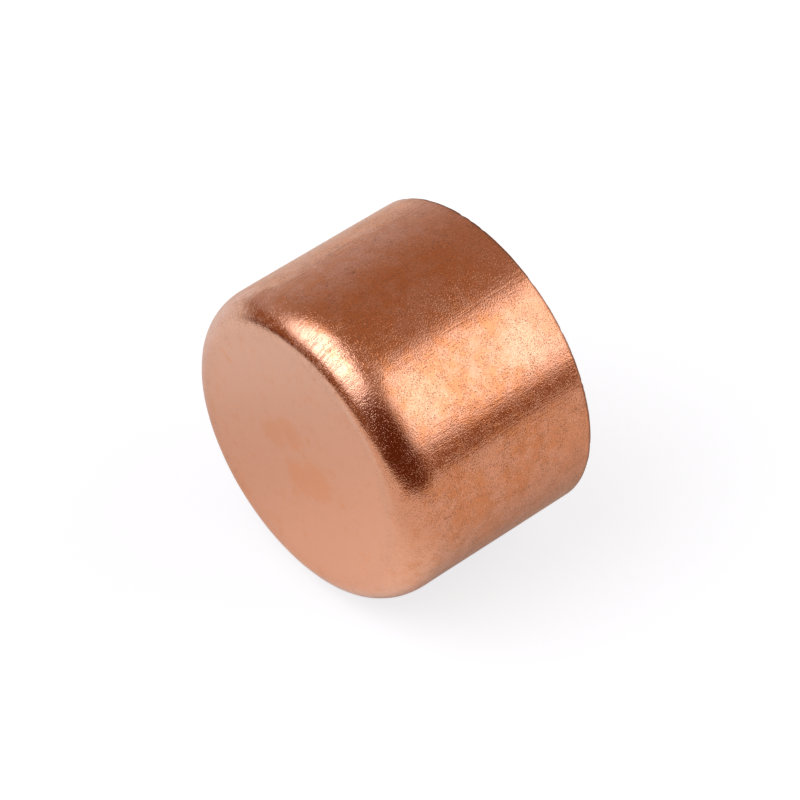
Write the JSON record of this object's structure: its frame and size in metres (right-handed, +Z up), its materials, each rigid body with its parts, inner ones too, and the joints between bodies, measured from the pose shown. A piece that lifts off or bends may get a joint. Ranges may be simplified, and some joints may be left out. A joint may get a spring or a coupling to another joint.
{
  "type": "pipe cap",
  "caption": "Seamless drawn copper cup with a straight capillary socket, a rounded corner and a flat closed end, soldered over the end of a tube to close it.",
  "frame": {"origin": "centre of the socket's mouth, on the cap's axis in the plane of the trimmed rim", "axes": "+Y along the cap's axis, out of the socket's mouth, the way the tube leaves; the closed end faces -Y; +Z up, with the cap lying on its side"},
  "size_m": [0.0302, 0.0207, 0.0302],
  "materials": {
    "copper": "bright drawn copper, annealed pink, with fine grain and light handling marks"
  },
  "bodies": {
    "root": {"cap": "copper"}
  },
  "joints": []
}
